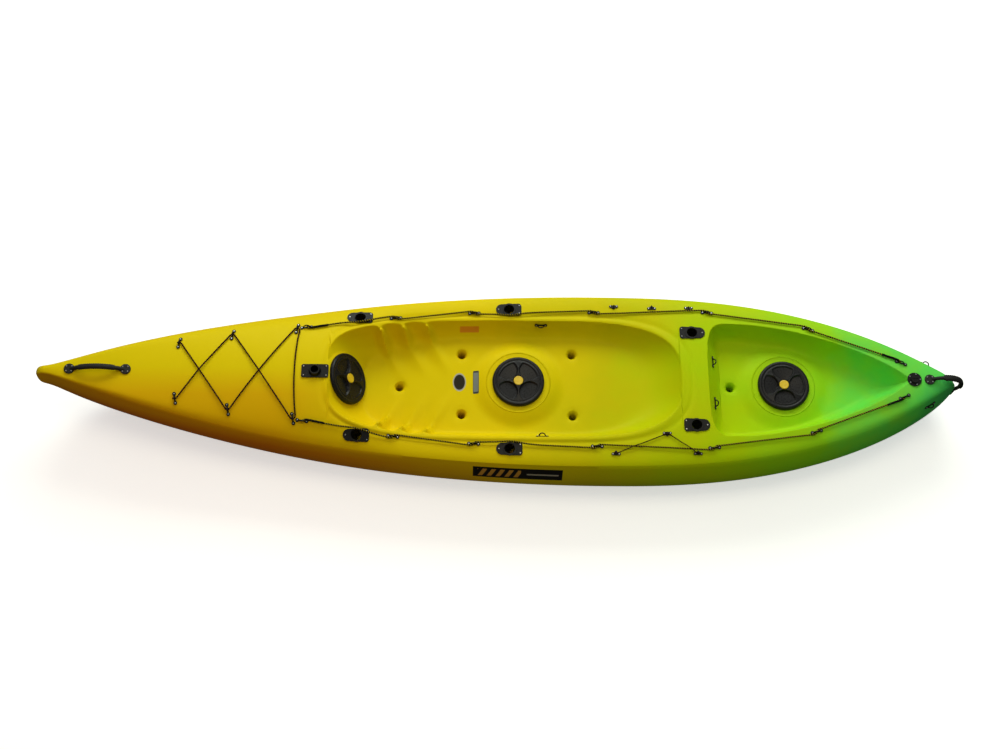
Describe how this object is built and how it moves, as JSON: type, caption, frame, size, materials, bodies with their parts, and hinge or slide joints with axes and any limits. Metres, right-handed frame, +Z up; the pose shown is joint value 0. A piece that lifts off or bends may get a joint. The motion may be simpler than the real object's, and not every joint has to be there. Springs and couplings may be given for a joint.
{
  "type": "sit-on-top fishing kayak",
  "caption": "Long one-piece plastic kayak hull with a moulded cockpit and tankwell, round screw-in hatches, flush rod holders, carry handles and deck lines.",
  "frame": {"origin": "middle of the overall length and beam, at the level of the keel", "axes": "+X towards the stern, -X towards the bow, +Y to starboard, +Z up"},
  "size_m": [3.8996, 0.8358, 0.3804],
  "materials": {
    "hull_plastic": "rotomoulded polyethylene, faintly pebbled satin, graded from yellow at the bow through lime to green at the stern",
    "lid_plastic": "black moulded nylon, fine satin grain",
    "yellow_buttons": "yellow moulded plastic, semi-gloss",
    "seal_rubber": "black seal rubber, matte",
    "black_fittings": "black glass-filled nylon, satin",
    "bung_plastic": "black turned acetal, semi-gloss",
    "handle_rubber": "black over-moulded grip rubber, matte",
    "stainless_screws": "stainless steel pan heads",
    "deck_line": "black braided polyester line",
    "shock_cord": "black braided shock cord"
  },
  "bodies": {
    "hull": {"hull_shell": "hull_plastic", "centre_hatch_collar": "black_fittings", "front_hatch_collar": "black_fittings", "rear_hatch_collar": "black_fittings", "hatch_collar_screws": "stainless_screws", "rod_holder_bow_port": "black_fittings", "rod_holder_bow_starboard": "black_fittings", "rod_holder_mid_port": "black_fittings", "rod_holder_mid_starboard": "black_fittings", "rod_holder_aft_port": "black_fittings", "rod_holder_aft_starboard": "black_fittings", "rod_holder_screws": "stainless_screws", "accessory_socket": "black_fittings", "accessory_socket_screws": "stainless_screws", "bow_handle": "handle_rubber", "bow_handle_screws": "stainless_screws", "stern_handle": "handle_rubber", "stern_handle_screws": "stainless_screws", "drain_flange": "black_fittings", "drain_flange_screws": "stainless_screws", "deck_line_eyes": "black_fittings", "shock_cord_eyes": "black_fittings", "paddle_keeper_eyes": "black_fittings", "seat_strap_eyes": "black_fittings", "tankwell_eyes": "black_fittings", "stern_side_eyes": "black_fittings", "deck_eye_screws": "stainless_screws", "deck_line_port": "deck_line", "deck_line_starboard": "deck_line", "bow_shock_cord": "shock_cord", "paddle_keeper_cord": "shock_cord"},
    "centre_lid_seal": {"centre_hatch_seal": "seal_rubber"},
    "centre_lid": {"centre_hatch_lid": "lid_plastic", "centre_hatch_button": "yellow_buttons"},
    "front_lid_seal": {"front_hatch_seal": "seal_rubber"},
    "front_lid": {"front_hatch_lid": "lid_plastic", "front_hatch_button": "yellow_buttons"},
    "rear_lid_seal": {"rear_hatch_seal": "seal_rubber"},
    "rear_lid": {"rear_hatch_lid": "lid_plastic", "rear_hatch_button": "yellow_buttons"},
    "drain_bung_seal": {"drain_seal": "seal_rubber"},
    "drain_bung": {"drain_bung": "bung_plastic"}
  },
  "joints": [
    {"name": "centre_lid_lift", "type": "slide", "parent": "hull", "child": "centre_lid_seal", "axis": [0, 0, 1], "range_m": [0, 0.06]},
    {"name": "centre_lid_turn", "type": "hinge", "parent": "centre_lid_seal", "child": "centre_lid", "pos_m": [0.056, 0, 0.225], "axis": [0, 0, 1], "range_deg": [-90, 0]},
    {"name": "front_lid_lift", "type": "slide", "parent": "hull", "child": "front_lid_seal", "axis": [0.809, 0, 0.5878], "range_m": [0, 0.06]},
    {"name": "front_lid_turn", "type": "hinge", "parent": "front_lid_seal", "child": "front_lid", "pos_m": [-0.667, 0, 0.2445], "axis": [0.809, 0, 0.5878], "range_deg": [-90, 0]},
    {"name": "rear_lid_lift", "type": "slide", "parent": "hull", "child": "rear_lid_seal", "axis": [0, 0, 1], "range_m": [0, 0.06]},
    {"name": "rear_lid_turn", "type": "hinge", "parent": "rear_lid_seal", "child": "rear_lid", "pos_m": [1.188, 0, 0.203], "axis": [0, 0, 1], "range_deg": [-90, 0]},
    {"name": "drain_bung_rise", "type": "slide", "parent": "hull", "child": "drain_bung_seal", "axis": [0, 0, 1], "range_m": [0, 0.0091]},
    {"name": "drain_bung_turn", "type": "hinge", "parent": "drain_bung_seal", "child": "drain_bung", "pos_m": [1.725, 0, 0.296], "axis": [0, 0, 1], "range_deg": [0, 1080]}
  ],
  "couplings": [
    {"joint": "drain_bung_rise", "follows": "drain_bung_turn", "m_per_rad": 0.00047746}
  ]
}
